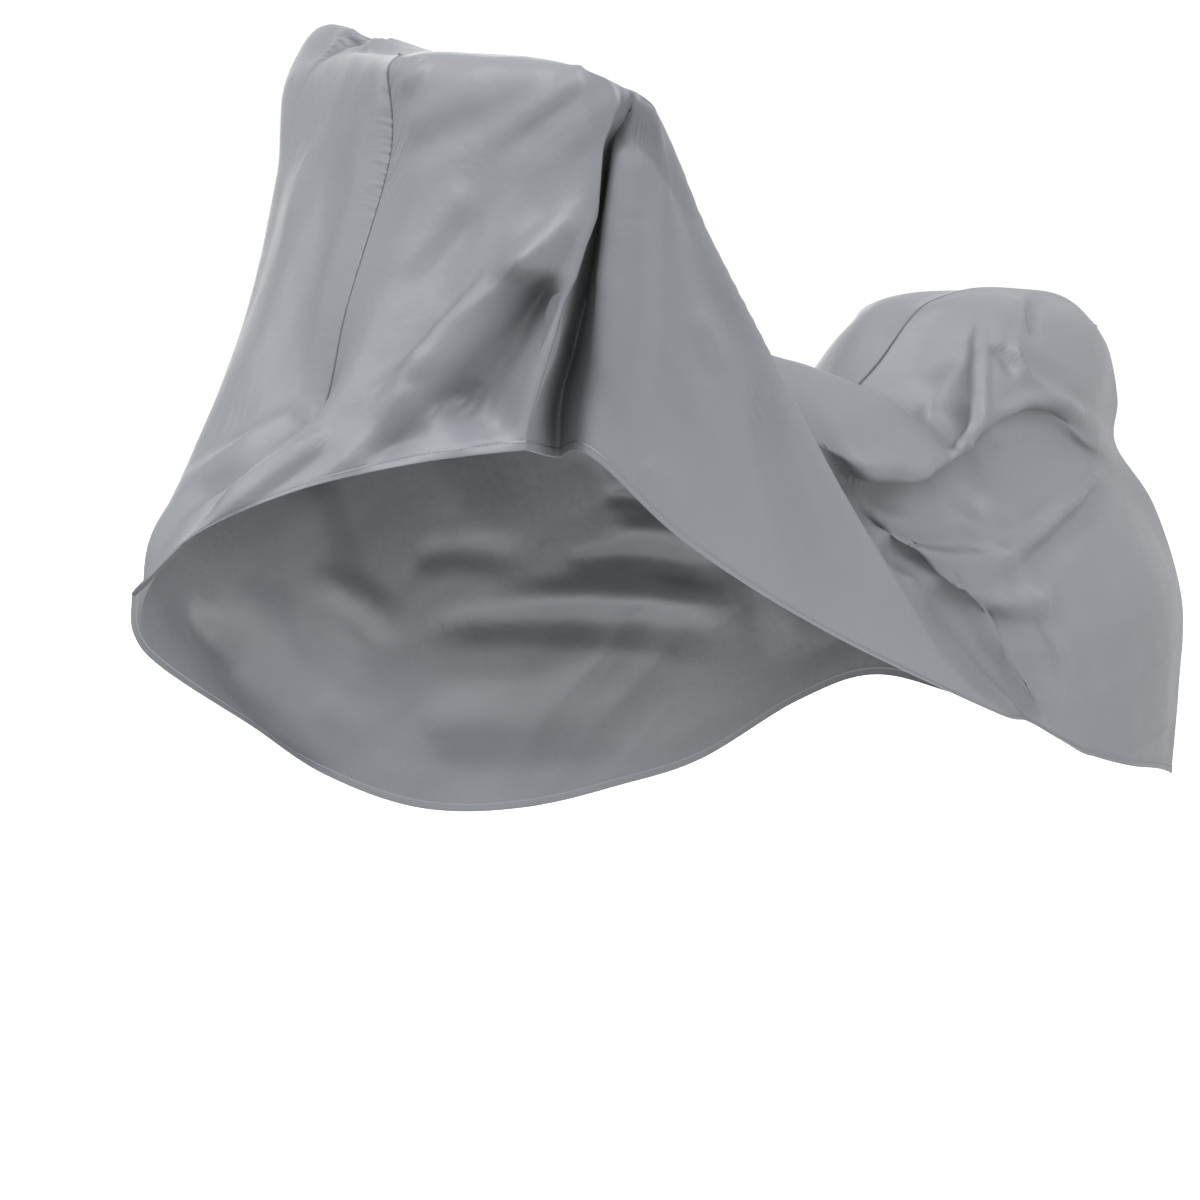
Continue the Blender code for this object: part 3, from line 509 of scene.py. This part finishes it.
def panel_stations(sections, close_to, columns, rows):
    """Section and level position of every vertex, closer at hem, seam and front folds."""
    gaps = len(sections) - 1
    u_fine = np.linspace(0.0, gaps, SECTION_SAMPLES * gaps + 1)
    v_fine = np.linspace(0.0, TOP_LEVEL, LEVEL_SAMPLES * TOP_LEVEL + 1)
    coarse = cloth_points(sections, *np.meshgrid(u_fine, v_fine[::COARSE_STEP], indexing="ij"))
    run = run_lengths(coarse, 0).mean(axis=1)
    close = np.where(u_fine[1:] <= close_to, FRONT_CLOSENESS, 1.0)
    run = np.concatenate([[0.0], np.cumsum(np.diff(run) * close)])
    u_line = np.interp(laid_distances(run[-1], columns, SEAM_ROWS, SEAM_ROWS), run, u_fine)
    lengths = run_lengths(cloth_points(sections, *np.meshgrid(u_line, v_fine, indexing="ij")), 1)
    v = np.array([np.interp(laid_distances(rise[-1], rows, HEM_ROWS, SEAM_ROWS), rise, v_fine)
                  for rise in lengths])
    return np.repeat(u_line[:, None], v.shape[1], axis=1), v


def surface_normals(grid):
    """Unit vector square to the cloth at every point of a grid."""
    along = np.gradient(grid, axis=0)
    up = np.gradient(grid, axis=1)
    normal = np.cross(along, up)
    return normal / np.maximum(np.linalg.norm(normal, axis=2, keepdims=True), TINY)


def ease(value):
    """Soft step from 0 at 0 to 1 at 1."""
    value = np.clip(value, 0.0, 1.0)
    return value * value * (3.0 - 2.0 * value)


def bell(distance, width):
    """Soft bell, 1 at no distance and almost 0 past twice the width."""
    return np.exp(-(distance / width) ** 2)


def fold_profile(distance, sharp):
    """Cross-section of a fold: flat flanks between its crest and a soft foot."""
    crest = 0.05 + 0.55 * (1.0 - sharp)
    fall = (np.sqrt(distance ** 2 + crest ** 2) - crest) / FLANK_WIDTH
    flank = np.clip(1.0 - fall, 0.0, None)
    foot = flank ** 2 / (2 * FOOT_HEIGHT)
    return np.where(flank < FOOT_HEIGHT, foot, flank - FOOT_HEIGHT / 2) / (1.0 - FOOT_HEIGHT / 2)


def fold_lift(grid, stations, sections, folds):
    """Height of all folds at every vertex, measured out of the cloth."""
    lift = np.zeros(grid.shape[:2])
    place_on_path = np.linspace(0.0, 1.0, FOLD_SAMPLES)
    for fold in folds:
        knots = np.linspace(0.0, 1.0, len(fold.path))
        path = curve_weights(knots, place_on_path) @ np.array(fold.path)
        line = cloth_points(sections, path[:, 0], path[:, 1])
        reach = FOLD_REACH * fold.width
        near = ((grid > line.min(0) - reach) & (grid < line.max(0) + reach)).all(axis=2)
        apart = np.linalg.norm(grid[near][:, None, :] - line[None], axis=2)
        nearest = apart.argmin(axis=1)
        place = place_on_path[nearest]
        fade = ease(place / FOLD_RISE + 0.05) * ease((1.0 - place) / FOLD_FALL + 0.03)
        same_layer = ease((LAYER_APART - np.abs(stations[near] - path[nearest, 0])) / 0.5)
        spread = fold.width * (0.75 + 0.5 * place)
        profile = fold_profile(apart.min(axis=1) / spread, fold.sharp)
        lift[near] += fold.height * fade * same_layer * profile
    return lift


# ---------------------------------------------------------------- waves
def lattice_waves(a, b, seed):
    """Smooth seeded waves of unit pitch over two coordinates, from -1 to 1."""
    table = np.random.RandomState(seed).uniform(-1.0, 1.0, WAVE_TABLE)
    wide, tall = WAVE_TABLE
    i = np.floor(a).astype(int)
    j = np.floor(b).astype(int)
    s = ease(a - i)
    t = ease(b - j)
    low = table[i % wide, j % tall] * (1 - s) + table[(i + 1) % wide, j % tall] * s
    high = table[i % wide, (j + 1) % tall] * (1 - s) + table[(i + 1) % wide, (j + 1) % tall] * s
    return low * (1 - t) + high * t


def waves(wave, across, along, seed):
    """Seeded waves of one kind at coordinates in metres."""
    return lattice_waves(across / wave.across, along / wave.along, seed)


def small_wrinkles(points, stations, plan):
    """Uneven drape of the cloth: broad waves and creased pulls along each grain."""
    right = VIEW_RIGHT[0] * points[:, :, 0] - VIEW_RIGHT[1] * points[:, :, 1]
    height = points[:, :, 2]
    right = right + BEND_SWING * waves(BEND_WAVE, right, height, plan.seed)
    wrinkles = BROAD_HEIGHT * waves(BROAD_WAVE, right, height, plan.seed + 1)
    shares = np.array([bell(stations - grain.section, GRAIN_REACH) + 1e-6 for grain in plan.grains])
    for index, (grain, share) in enumerate(zip(plan.grains, shares / shares.sum(axis=0))):
        seed = plan.seed + 2 + 3 * index
        along = right * math.cos(grain.turn) + height * math.sin(grain.turn)
        across = height * math.cos(grain.turn) - right * math.sin(grain.turn)
        pulls = 0.5 - np.abs(waves(PULL_WAVE, across, along, seed))
        fine_pulls = 0.5 - np.abs(waves(FINE_PULL_WAVE, across, along, seed + 1))
        patch = ease(0.5 + 0.9 * waves(PATCH_WAVE, right, height, seed + 2))
        wrinkles += grain.height * share * (pulls + FINE_PULL_SHARE * patch * fine_pulls)
    return wrinkles


# ---------------------------------------------------------------- panels
def panel_surface(plan, columns, rows):
    """Outer surface of one panel with its folds, hem and the runs along it."""
    u, v = panel_stations(plan.sections, plan.close_to, columns, rows)
    base = cloth_points(plan.sections, u, v)
    outward = surface_normals(base) * -plan.side
    rise = run_lengths(base, 1)
    from_front = run_lengths(base, 0)
    from_tail = run_lengths(base[::-1], 0)[::-1]
    run = from_front[:, [rows // 2]] + 0.0 * rise
    from_seam = np.minimum(np.minimum(from_front, rise[:, -1:] - rise), from_tail)
    held = ease(np.minimum(from_seam, rise) / SMALL_FOLD_FADE)
    lift = fold_lift(base, u, plan.sections, plan.folds) * ease(rise / HEM_FADE + HEM_SHARE)
    lift += small_wrinkles(base, u, plan) * (SMALL_FOLD_SHARE + (1.0 - SMALL_FOLD_SHARE) * held)
    lift *= ease(from_seam / SEAM_FADE) * (1.0 - bell(u - plan.lip, LIP_FADE))
    lift += ROLL_DEPTH * ease((HEM_WIDTH + ROLL_PAST - rise) / ROLL_STEP) * ease(0.4 + rise / ROLL_STEP)
    lift -= HEM_DENT[0] * bell(rise - HEM_WIDTH, HEM_DENT[1])
    lift -= SEAM_GROOVE[0] * bell(from_seam, SEAM_GROOVE[1])
    grid = base + outward * lift[:, :, None]
    on_seam = from_seam < ON_SEAM
    grid[:, :, 1] = np.where(on_seam, 0.0, plan.side * np.maximum(plan.side * grid[:, :, 1], 0.0))
    return grid - np.array(ORIGIN), rise, run, from_seam


def finished_object(name, work):
    """Object at the origin that carries the worked mesh."""
    mesh = bpy.data.meshes.new(name)
    work.to_mesh(mesh)
    work.free()
    piece = bpy.data.objects.new(name, mesh)
    bpy.context.collection.objects.link(piece)
    return piece


def cloth_object(name, grid, side, rise, run, from_seam):
    """One panel as a fine grid laid on its surface, with cloth coordinates."""
    columns, rows = grid.shape[:2]
    gathered = PUCKER_SHARE + (1.0 - PUCKER_SHARE) * bell(grid[:, :, 2] + PUCKER_TOP, PUCKER_RUN)
    shares = {
        "near_seam": gathered * bell(from_seam, PUCKER_REACH),
        "near_hem": bell(np.maximum(rise - HEM_WIDTH, 0.0), HEM_PUCKER_REACH),
        # painted shade along the seam line, which the cloth colour reads
        "in_seam": bell(from_seam, SEAM_SHADE_HALF_WIDTH),
    }
    work = bmesh.new()
    bmesh.ops.create_grid(work, x_segments=rows - 1, y_segments=columns - 1, size=1.0)
    work.verts.ensure_lookup_table()
    coords = work.loops.layers.uv.new("cloth")
    for share_name in shares:
        work.verts.layers.float.new(share_name)
    layers = {share_name: work.verts.layers.float[share_name] for share_name in shares}
    for index, vertex in enumerate(work.verts):
        i, j = divmod(index, rows)
        vertex.co = grid[i, j]
        for share_name, layer in layers.items():
            vertex[layer] = shares[share_name][i, j]
    for face in work.faces:
        for loop in face.loops:
            i, j = divmod(loop.vert.index, rows)
            loop[coords].uv = (run[i, j], rise[i, j])
        face.smooth = True
    work.faces.ensure_lookup_table()
    middle = work.faces[len(work.faces) // 2]
    middle.normal_update()
    i, j = divmod(middle.verts[0].index, rows)
    outward = surface_normals(grid)[i, j] * -side
    if middle.normal.dot(Vector(outward)) < 0.0:
        bmesh.ops.reverse_faces(work, faces=work.faces)
    return finished_object(name, work)


# ---------------------------------------------------------------- stitching
def stitch_places(line, normals, pitch):
    """Even places along a line of points: middle, direction and outward side."""
    steps = np.linalg.norm(np.diff(line, axis=0), axis=1)
    run = np.concatenate([[0.0], np.cumsum(steps)])
    marks = np.arange(pitch, run[-1] - pitch, pitch)

    def at(distances, values):
        return np.stack([np.interp(distances, run, values[:, k]) for k in range(3)], axis=1)

    middle = at(marks, line)
    return zip(middle, at(marks + 0.001, line) - middle, at(marks, normals))


def stitch_object(name, places, stitches, lift):
    """All stitches of one line as small rounded threads in one mesh."""
    work = bmesh.new()
    for middle, ahead, outward in places:
        x_axis = Vector(ahead).normalized()
        z_axis = Vector(outward)
        z_axis = (z_axis - x_axis * z_axis.dot(x_axis)).normalized()
        y_axis = z_axis.cross(x_axis)
        turn = Matrix((x_axis, y_axis, z_axis)).transposed().to_4x4()
        place = Matrix.Translation(Vector(middle) + z_axis * lift) @ turn
        sizes = Matrix.Diagonal((stitches.length, stitches.width, stitches.width * 0.8, 1.0))
        bmesh.ops.create_icosphere(work, subdivisions=1, radius=0.5, matrix=place @ sizes)
    for face in work.faces:
        face.smooth = True
    return finished_object(name, work)


# ---------------------------------------------------------------- materials
# Heights of the fine relief of the cloth.
CRINKLE_BUMP = 0.0016
FINE_CRINKLE_BUMP = 0.0003
SEAM_PUCKER_BUMP = 0.0088
HEM_PUCKER_BUMP = 0.0012
WEAVE_BUMP = 0.00005

# Shares of the colour and the gloss that the cloth's marks and the painted seam shade move.
SLUB_SHARE = 0.35
MOTTLE_SHARE = 0.8
WEAVE_SHARE = 0.06
SEAM_SHADE_SHARE = 0.9
SEAM_SHADE_TONE = 0.22            # the painted seam shade is this share as light as the cloth's duller colour
GLOSS_SPREAD = 0.16

# Scales that stretch noise over the cloth's own coordinates: along and up the panel.
SLUB_SCALE = (260.0, 30.0, 1.0)
SEAM_PUCKER_SCALE = (14.0, 105.0, 1.0)
HEM_PUCKER_SCALE = (90.0, 16.0, 1.0)


class NodeTree:
    """Short calls for adding and joining the nodes of one material."""

    def __init__(self, name):
        self.material = bpy.data.materials.new(name)
        self.material.use_nodes = True
        self.tree = self.material.node_tree
        self.shader = self.tree.nodes["Principled BSDF"]

    def add(self, kind, **values):
        node = self.tree.nodes.new(kind)
        for key, value in values.items():
            setattr(node, key, value)
        return node

    def feed(self, target, source):
        if hasattr(source, "is_output"):
            self.tree.links.new(source, target)
        else:
            target.default_value = source

    def math(self, operation, first, second=0.0, third=0.0):
        node = self.add("ShaderNodeMath", operation=operation)
        for socket, source in zip(node.inputs, (first, second, third)):
            self.feed(socket, source)
        return node.outputs[0]

    def blend(self, factor, first, second):
        node = self.add("ShaderNodeMix", data_type="RGBA")
        self.feed(node.inputs[0], factor)
        self.feed(node.inputs[6], first)
        self.feed(node.inputs[7], second)
        return node.outputs[2]

    def noise(self, vector, scale, detail, rough=0.5):
        node = self.add("ShaderNodeTexNoise")
        self.feed(node.inputs["Vector"], vector)
        node.inputs["Scale"].default_value = scale
        node.inputs["Detail"].default_value = detail
        node.inputs["Roughness"].default_value = rough
        return node.outputs["Fac"]

    def stretched_noise(self, vector, stretch, detail):
        node = self.add("ShaderNodeMapping")
        self.feed(node.inputs["Vector"], vector)
        node.inputs["Scale"].default_value = stretch
        return self.noise(node.outputs[0], scale=1.0, detail=detail)

    def attribute(self, name):
        return self.add("ShaderNodeAttribute", attribute_name=name).outputs["Fac"]

    def object_place(self):
        return self.add("ShaderNodeTexCoord").outputs["Object"]

    def bump(self, height, strength, distance):
        node = self.add("ShaderNodeBump")
        node.inputs["Strength"].default_value = strength
        node.inputs["Distance"].default_value = distance
        self.feed(node.inputs["Height"], height)
        self.feed(self.shader.inputs["Normal"], node.outputs[0])


def darker(colour, share):
    """The colour at a share of its strength."""
    return tuple(share * value for value in colour[:3]) + (1.0,)


def woven_cloth(name, cloth):
    """Satin-like woven cloth with a fine plain weave, crinkles, seam puckers and painted shade along the
    seam.
    """
    nodes = NodeTree(name)
    place = nodes.add("ShaderNodeUVMap", uv_map="cloth").outputs["UV"]
    body = nodes.object_place()
    split = nodes.add("ShaderNodeSeparateXYZ")
    nodes.feed(split.inputs[0], place)
    turn = 2.0 * math.pi / cloth.weave_pitch
    warp = nodes.math("SINE", nodes.math("MULTIPLY", split.outputs[0], turn))
    weft = nodes.math("SINE", nodes.math("MULTIPLY", split.outputs[1], turn))
    weave = nodes.math("MULTIPLY", warp, weft)

    mottle = nodes.noise(body, scale=9.0, detail=3.0)
    slub = nodes.stretched_noise(place, SLUB_SCALE, detail=2.0)
    share = nodes.math("MULTIPLY", mottle, MOTTLE_SHARE)
    share = nodes.math("MULTIPLY_ADD", slub, SLUB_SHARE, share)
    share = nodes.math("MULTIPLY_ADD", weave, WEAVE_SHARE, share)
    colour = nodes.blend(share, tuple(cloth.shade), tuple(cloth.colour))
    # painted shade: the colour darkens along the seam line, where the closed seam groove falls into
    # shadow
    painted_shade_share = nodes.math("MULTIPLY", nodes.attribute("in_seam"), SEAM_SHADE_SHARE)
    colour = nodes.blend(painted_shade_share, colour, darker(cloth.shade, SEAM_SHADE_TONE))
    nodes.feed(nodes.shader.inputs["Base Color"], colour)

    patches = nodes.noise(body, scale=21.0, detail=2.0)
    gloss = nodes.math("MULTIPLY_ADD", patches, GLOSS_SPREAD, cloth.roughness - GLOSS_SPREAD / 2)
    nodes.feed(nodes.shader.inputs["Roughness"], gloss)
    nodes.shader.inputs["Sheen Weight"].default_value = 0.05
    nodes.shader.inputs["Sheen Roughness"].default_value = 0.45
    nodes.shader.inputs["Specular IOR Level"].default_value = 0.38

    # crinkles of the cloth, then puckers that run square to the seam and hem
    crinkle = nodes.noise(body, scale=34.0, detail=4.0, rough=0.55)
    fine = nodes.noise(body, scale=120.0, detail=2.0)
    seam_pucker = nodes.math("MULTIPLY", nodes.stretched_noise(place, SEAM_PUCKER_SCALE, detail=1.0),
                             nodes.attribute("near_seam"))
    hem_pucker = nodes.math("MULTIPLY", nodes.stretched_noise(place, HEM_PUCKER_SCALE, detail=1.0),
                            nodes.attribute("near_hem"))
    relief = nodes.math("MULTIPLY", fine, FINE_CRINKLE_BUMP)
    for wave, height in ((crinkle, CRINKLE_BUMP), (seam_pucker, SEAM_PUCKER_BUMP),
                         (hem_pucker, HEM_PUCKER_BUMP), (weave, WEAVE_BUMP)):
        relief = nodes.math("MULTIPLY_ADD", wave, height, relief)
    nodes.bump(relief, strength=0.7, distance=1.0)
    return nodes.material


def sewing_thread(name, stitches):
    """Twisted polyester thread, a little darker than the cloth."""
    nodes = NodeTree(name)
    body = nodes.object_place()
    tint = nodes.noise(body, scale=60.0, detail=2.0)
    colour = nodes.blend(tint, darker(stitches.colour, 0.8), tuple(stitches.colour))
    nodes.feed(nodes.shader.inputs["Base Color"], colour)
    nodes.shader.inputs["Roughness"].default_value = 0.6
    nodes.bump(nodes.noise(body, scale=1500.0, detail=1.0), strength=1.0, distance=0.0002)
    return nodes.material


def plain_floor(name, colour):
    """Matt pale paint."""
    nodes = NodeTree(name)
    tone = nodes.noise(nodes.object_place(), scale=1.5, detail=2.0)
    paint = nodes.blend(tone, darker(colour, 0.985), tuple(colour))
    nodes.feed(nodes.shader.inputs["Base Color"], paint)
    nodes.shader.inputs["Roughness"].default_value = 0.9
    nodes.shader.inputs["Specular IOR Level"].default_value = 0.1
    return nodes.material


# ---------------------------------------------------------------- making
STITCH_LIFT = 0.0003              # the thread stands this far out of the cloth


def make_panel(context, plan):
    """One cloth panel with its hem and its rows of stitches."""
    cloth = context.scene.cover_cloth
    stitches = context.scene.cover_stitch
    grid, rise, run, from_seam = panel_surface(plan, cloth.columns, cloth.rows)
    panel = cloth_object(plan.name, grid, plan.side, rise, run, from_seam)
    panel.data.materials.append(woven_cloth(plan.name + "_weave", cloth))
    sheet = panel.modifiers.new("cloth_thickness", "SOLIDIFY")
    sheet.thickness = cloth.thickness
    sheet.offset = -1.0
    sheet.use_even_offset = False

    outward = surface_normals(grid) * -plan.side
    row = HEM_ROWS.index(STITCH_ROW)
    places = stitch_places(grid[:, row], outward[:, row], stitches.pitch)
    hem_thread = stitch_object(plan.name + "_hem_stitches", places, stitches, STITCH_LIFT)
    hem_thread.data.materials.append(sewing_thread(plan.name + "_thread", stitches))
    for piece in (panel, hem_thread):
        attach(piece, "root")
    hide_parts(plan.node)


class COVER_OT_left_side(Operator):
    """Make the left side panel with its hem and stitching"""
    bl_idname = "cover.left_side"
    bl_label = "Left side"

    def execute(self, context):
        make_panel(context, LEFT_PLAN)
        return {"FINISHED"}


class COVER_OT_right_side(Operator):
    """Make the right side panel with its hem and stitching"""
    bl_idname = "cover.right_side"
    bl_label = "Right side"

    def execute(self, context):
        make_panel(context, RIGHT_PLAN)
        return {"FINISHED"}


# ---------------------------------------------------------------- stage
# Large square lights: place, target and side from the hang point, and the stage
# setting that holds the power.
Light = namedtuple("Light", "name place target size power")
LIGHTS = (
    Light("front_light", (-2.70, -0.35, 2.15), (0.10, 0.00, -0.20), 1.8, "front"),
    Light("side_light", (0.30, -3.00, 1.75), (0.45, -0.20, -0.35), 2.2, "side"),
    Light("back_light", (1.60, 3.00, 0.20), (0.55, 0.15, -0.45), 2.2, "back"),
    Light("inside_light", (0.40, -0.10, -1.12), (0.45, 0.10, -0.30), 1.3, "inside"),
)

# The camera stands before the cover's front left; its turns are in radians.
CAMERA_PLACE = (-1.9047, -2.4778, 0.1347)
CAMERA_YAW = 0.7151
CAMERA_PITCH = -0.2157
CAMERA_ROLL = 0.0490
SENSOR_WIDTH = 36.0               # millimetres

# Between these heights of the view's direction the room turns from dim to bright.
ROOM_DIM = -0.35
ROOM_BRIGHT = -0.09


def studio_room(name, sky, under):
    """Even white room, with less light from under the horizon."""
    room = bpy.data.worlds.new(name)
    room.use_nodes = True
    tree = room.node_tree
    background = tree.nodes["Background"]
    direction = tree.nodes.new("ShaderNodeTexCoord")
    split = tree.nodes.new("ShaderNodeSeparateXYZ")
    height = tree.nodes.new("ShaderNodeMapRange")
    height.inputs["From Min"].default_value = ROOM_DIM
    height.inputs["From Max"].default_value = ROOM_BRIGHT
    height.inputs["To Min"].default_value = under
    height.inputs["To Max"].default_value = sky
    tree.links.new(direction.outputs["Generated"], split.inputs[0])
    tree.links.new(split.outputs[2], height.inputs["Value"])
    tree.links.new(height.outputs[0], background.inputs["Strength"])
    background.inputs["Color"].default_value = (1.0, 1.0, 1.0, 1.0)
    return room


def add_light(light, power):
    """Large square light that shines from its place toward its target."""
    lamp = bpy.data.lights.new(light.name, "AREA")
    lamp.energy = power
    lamp.size = light.size
    holder = bpy.data.objects.new(light.name, lamp)
    holder.location = light.place
    away = Vector(light.place) - Vector(light.target)
    holder.rotation_euler = away.to_track_quat("Z", "Y").to_euler()
    holder.visible_camera = False
    bpy.context.collection.objects.link(holder)


def add_floor(stage):
    """Plain floor under the cover, seen by the camera alone."""
    work = bmesh.new()
    bmesh.ops.create_grid(work, x_segments=1, y_segments=1, size=stage.floor_size / 2,
                          matrix=Matrix.Translation((0.0, 0.0, FLOOR_Z)))
    floor = finished_object("studio_floor", work)
    floor.data.materials.append(plain_floor("studio_floor_paint", stage.floor_colour))
    floor.visible_diffuse = False
    floor.visible_glossy = False


def add_camera(scene, focal_length):
    """Camera at the height and angle from which the cover is shown."""
    lens = bpy.data.cameras.new("photo_camera")
    lens.lens = focal_length
    lens.sensor_width = SENSOR_WIDTH
    lens.clip_start = 0.05
    lens.clip_end = 100.0
    camera = bpy.data.objects.new("photo_camera", lens)
    ahead = Vector((math.sin(CAMERA_YAW) * math.cos(CAMERA_PITCH),
                    math.cos(CAMERA_YAW) * math.cos(CAMERA_PITCH), math.sin(CAMERA_PITCH)))
    right = Vector((math.cos(CAMERA_YAW), -math.sin(CAMERA_YAW), 0.0))
    up = right.cross(ahead)
    across = right * math.cos(CAMERA_ROLL) + up * math.sin(CAMERA_ROLL)
    upright = up * math.cos(CAMERA_ROLL) - right * math.sin(CAMERA_ROLL)
    turn = Matrix((across, upright, -ahead)).transposed().to_4x4()
    camera.matrix_world = Matrix.Translation(CAMERA_PLACE) @ turn
    bpy.context.collection.objects.link(camera)
    scene.camera = camera


class COVER_OT_stage(Operator):
    """Make the plain floor, the soft lights and the camera"""
    bl_idname = "cover.stage"
    bl_label = "Stage"

    def execute(self, context):
        stage = context.scene.cover_stage
        add_floor(stage)
        context.scene.world = studio_room("studio_room", stage.sky, stage.under)
        context.scene.view_settings.view_transform = "Standard"
        context.scene.view_settings.look = "None"
        for light in LIGHTS:
            add_light(light, getattr(stage, light.power))
        add_camera(context.scene, stage.lens)
        return {"FINISHED"}


class COVER_PT_sidebar(Panel):
    """Settings and operators of the cover in the sidebar"""
    bl_label = "Bicycle cover"
    bl_idname = "COVER_PT_sidebar"
    bl_space_type = "VIEW_3D"
    bl_region_type = "UI"
    bl_category = "Cover"

    def draw(self, context):
        for title, settings, operators in (
                ("Cloth", context.scene.cover_cloth, ("cover.left_side", "cover.right_side")),
                ("Stitching", context.scene.cover_stitch, ()),
                ("Stage", context.scene.cover_stage, ("cover.stage",))):
            box = self.layout.box()
            box.label(text=title)
            for key in settings.bl_rna.properties.keys():
                if key not in {"rna_type", "name"}:
                    box.prop(settings, key)
            for operator in operators:
                box.operator(operator)


CLASSES = (CoverClothSettings, CoverStitchSettings, CoverStageSettings,
           COVER_OT_left_side, COVER_OT_right_side, COVER_OT_stage, COVER_PT_sidebar)


def register():
    for item in CLASSES:
        bpy.utils.register_class(item)
    bpy.types.Scene.cover_cloth = PointerProperty(type=CoverClothSettings)
    bpy.types.Scene.cover_stitch = PointerProperty(type=CoverStitchSettings)
    bpy.types.Scene.cover_stage = PointerProperty(type=CoverStageSettings)


def unregister():
    del bpy.types.Scene.cover_stage
    del bpy.types.Scene.cover_stitch
    del bpy.types.Scene.cover_cloth
    for item in reversed(CLASSES):
        bpy.utils.unregister_class(item)


def main():
    register()
    bpy.ops.cover.left_side()
    bpy.ops.cover.right_side()
    bpy.ops.cover.stage()


if __name__ == "__main__":
    main()
